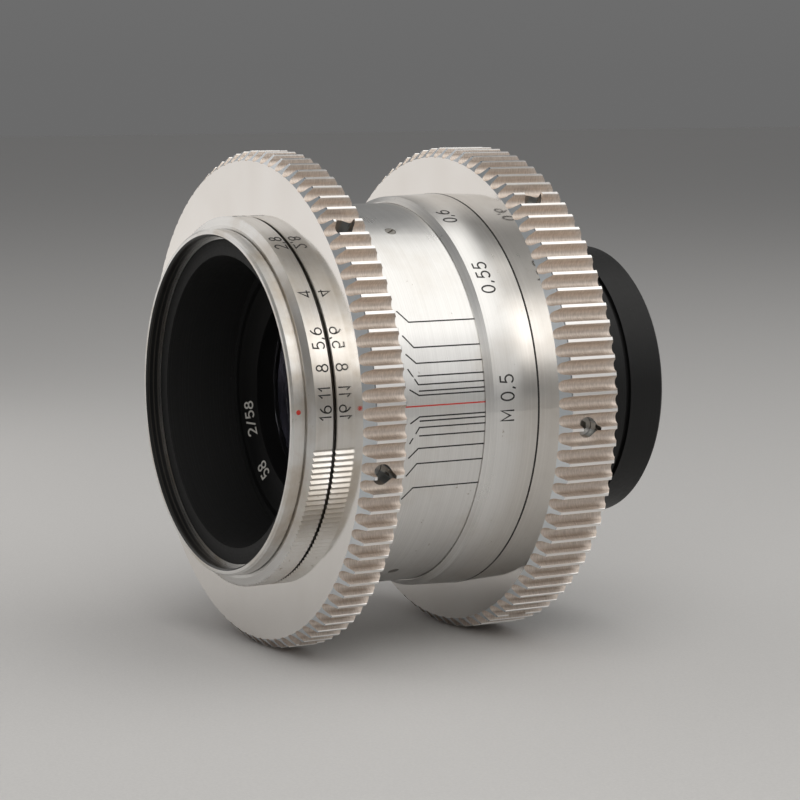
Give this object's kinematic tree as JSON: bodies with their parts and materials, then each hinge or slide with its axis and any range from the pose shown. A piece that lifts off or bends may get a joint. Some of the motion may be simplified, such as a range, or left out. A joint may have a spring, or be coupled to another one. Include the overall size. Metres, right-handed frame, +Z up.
{
  "type": "preset aperture camera lens with follow-focus gears",
  "caption": "Silver preset-aperture lens with focus helicoid, iris, two control rings, two follow-focus gear rings and a threaded rear tube.",
  "frame": {"origin": "centre of the rear tube's end face", "axes": "+Y along the optical axis out of the rear tube, +Z up, angles from +X towards +Z"},
  "size_m": [0.0736, 0.0655, 0.0736],
  "materials": {
    "gear_aluminium": "raw machined satin",
    "body_aluminium": "aged satin with fine turned lines",
    "black_anodised": "satin black",
    "matte_black": "matte black",
    "glass": "polished and coated",
    "steel": "plain steel",
    "blade_steel": "blackened steel",
    "brass": "machined brass"
  },
  "bodies": {
    "root": {"mount_tube": "black_anodised", "rear_plate": "black_anodised", "mount_screws": "steel", "guide_sleeve": "brass", "guide_keys": "steel", "rear_baffle": "matte_black"},
    "focus": {"focus_ring": "body_aluminium", "focus_retaining_screws": "steel", "helicoid_nut": "brass", "focus_gear": "gear_aluminium", "focus_gear_screws": "steel"},
    "carrier": {"scale_barrel": "body_aluminium", "helicoid_carrier": "brass", "barrel_screws": "steel", "core_tube": "matte_black", "front_ring": "body_aluminium", "detent_ball": "steel", "detent_spring": "steel", "iris_plate": "black_anodised", "iris_retainer": "matte_black", "name_ring": "black_anodised", "front_cell": "black_anodised", "front_element": "glass", "front_doublet_crown": "glass", "front_doublet_flint": "glass", "rear_cell": "black_anodised", "rear_doublet_flint": "glass", "rear_doublet_crown": "glass", "rear_element": "glass", "rear_spacer": "steel", "rear_retainer": "steel"},
    "preset": {"preset_ring": "body_aluminium"},
    "aperture": {"aperture_ring": "body_aluminium", "iris_gear": "gear_aluminium", "iris_gear_screws": "steel", "drive_link": "steel", "iris_cam_ring": "steel"},
    "blade_1": {"blade_1": "blade_steel"},
    "blade_2": {"blade_2": "blade_steel"},
    "blade_3": {"blade_3": "blade_steel"},
    "blade_4": {"blade_4": "blade_steel"},
    "blade_5": {"blade_5": "blade_steel"},
    "blade_6": {"blade_6": "blade_steel"},
    "blade_7": {"blade_7": "blade_steel"},
    "blade_8": {"blade_8": "blade_steel"}
  },
  "joints": [
    {"name": "focus_turn", "type": "hinge", "parent": "root", "child": "focus", "pos_m": [0, -0.028, 0], "axis": [0, 1, 0], "range_deg": [0, 286]},
    {"name": "focus_slide", "type": "slide", "parent": "root", "child": "carrier", "axis": [0, 1, 0], "range_m": [0, 0.00897]},
    {"name": "preset_turn", "type": "hinge", "parent": "carrier", "child": "preset", "pos_m": [0, -0.0615, 0], "axis": [0, 1, 0], "range_deg": [0, 88]},
    {"name": "aperture_turn", "type": "hinge", "parent": "carrier", "child": "aperture", "pos_m": [0, -0.0565, 0], "axis": [0, 1, 0], "range_deg": [0, 88]},
    {"name": "blade_1_turn", "type": "hinge", "parent": "carrier", "child": "blade_1", "pos_m": [0.0186, -0.037, 0], "axis": [0, 1, 0], "range_deg": [0, 33]},
    {"name": "blade_2_turn", "type": "hinge", "parent": "carrier", "child": "blade_2", "pos_m": [0.01315, -0.037, 0.01315], "axis": [0, 1, 0], "range_deg": [0, 33]},
    {"name": "blade_3_turn", "type": "hinge", "parent": "carrier", "child": "blade_3", "pos_m": [0, -0.037, 0.0186], "axis": [0, 1, 0], "range_deg": [0, 33]},
    {"name": "blade_4_turn", "type": "hinge", "parent": "carrier", "child": "blade_4", "pos_m": [-0.01315, -0.037, 0.01315], "axis": [0, 1, 0], "range_deg": [0, 33]},
    {"name": "blade_5_turn", "type": "hinge", "parent": "carrier", "child": "blade_5", "pos_m": [-0.0186, -0.037, 0], "axis": [0, 1, 0], "range_deg": [0, 33]},
    {"name": "blade_6_turn", "type": "hinge", "parent": "carrier", "child": "blade_6", "pos_m": [-0.01315, -0.037, -0.01315], "axis": [0, 1, 0], "range_deg": [0, 33]},
    {"name": "blade_7_turn", "type": "hinge", "parent": "carrier", "child": "blade_7", "pos_m": [0, -0.037, -0.0186], "axis": [0, 1, 0], "range_deg": [0, 33]},
    {"name": "blade_8_turn", "type": "hinge", "parent": "carrier", "child": "blade_8", "pos_m": [0.01315, -0.037, -0.01315], "axis": [0, 1, 0], "range_deg": [0, 33]}
  ],
  "couplings": [
    {"joint": "focus_slide", "follows": "focus_turn", "m_per_rad": 0.001797},
    {"joint": "blade_1_turn", "follows": "aperture_turn", "ratio": 0.375},
    {"joint": "blade_2_turn", "follows": "aperture_turn", "ratio": 0.375},
    {"joint": "blade_3_turn", "follows": "aperture_turn", "ratio": 0.375},
    {"joint": "blade_4_turn", "follows": "aperture_turn", "ratio": 0.375},
    {"joint": "blade_5_turn", "follows": "aperture_turn", "ratio": 0.375},
    {"joint": "blade_6_turn", "follows": "aperture_turn", "ratio": 0.375},
    {"joint": "blade_7_turn", "follows": "aperture_turn", "ratio": 0.375},
    {"joint": "blade_8_turn", "follows": "aperture_turn", "ratio": 0.375}
  ]
}
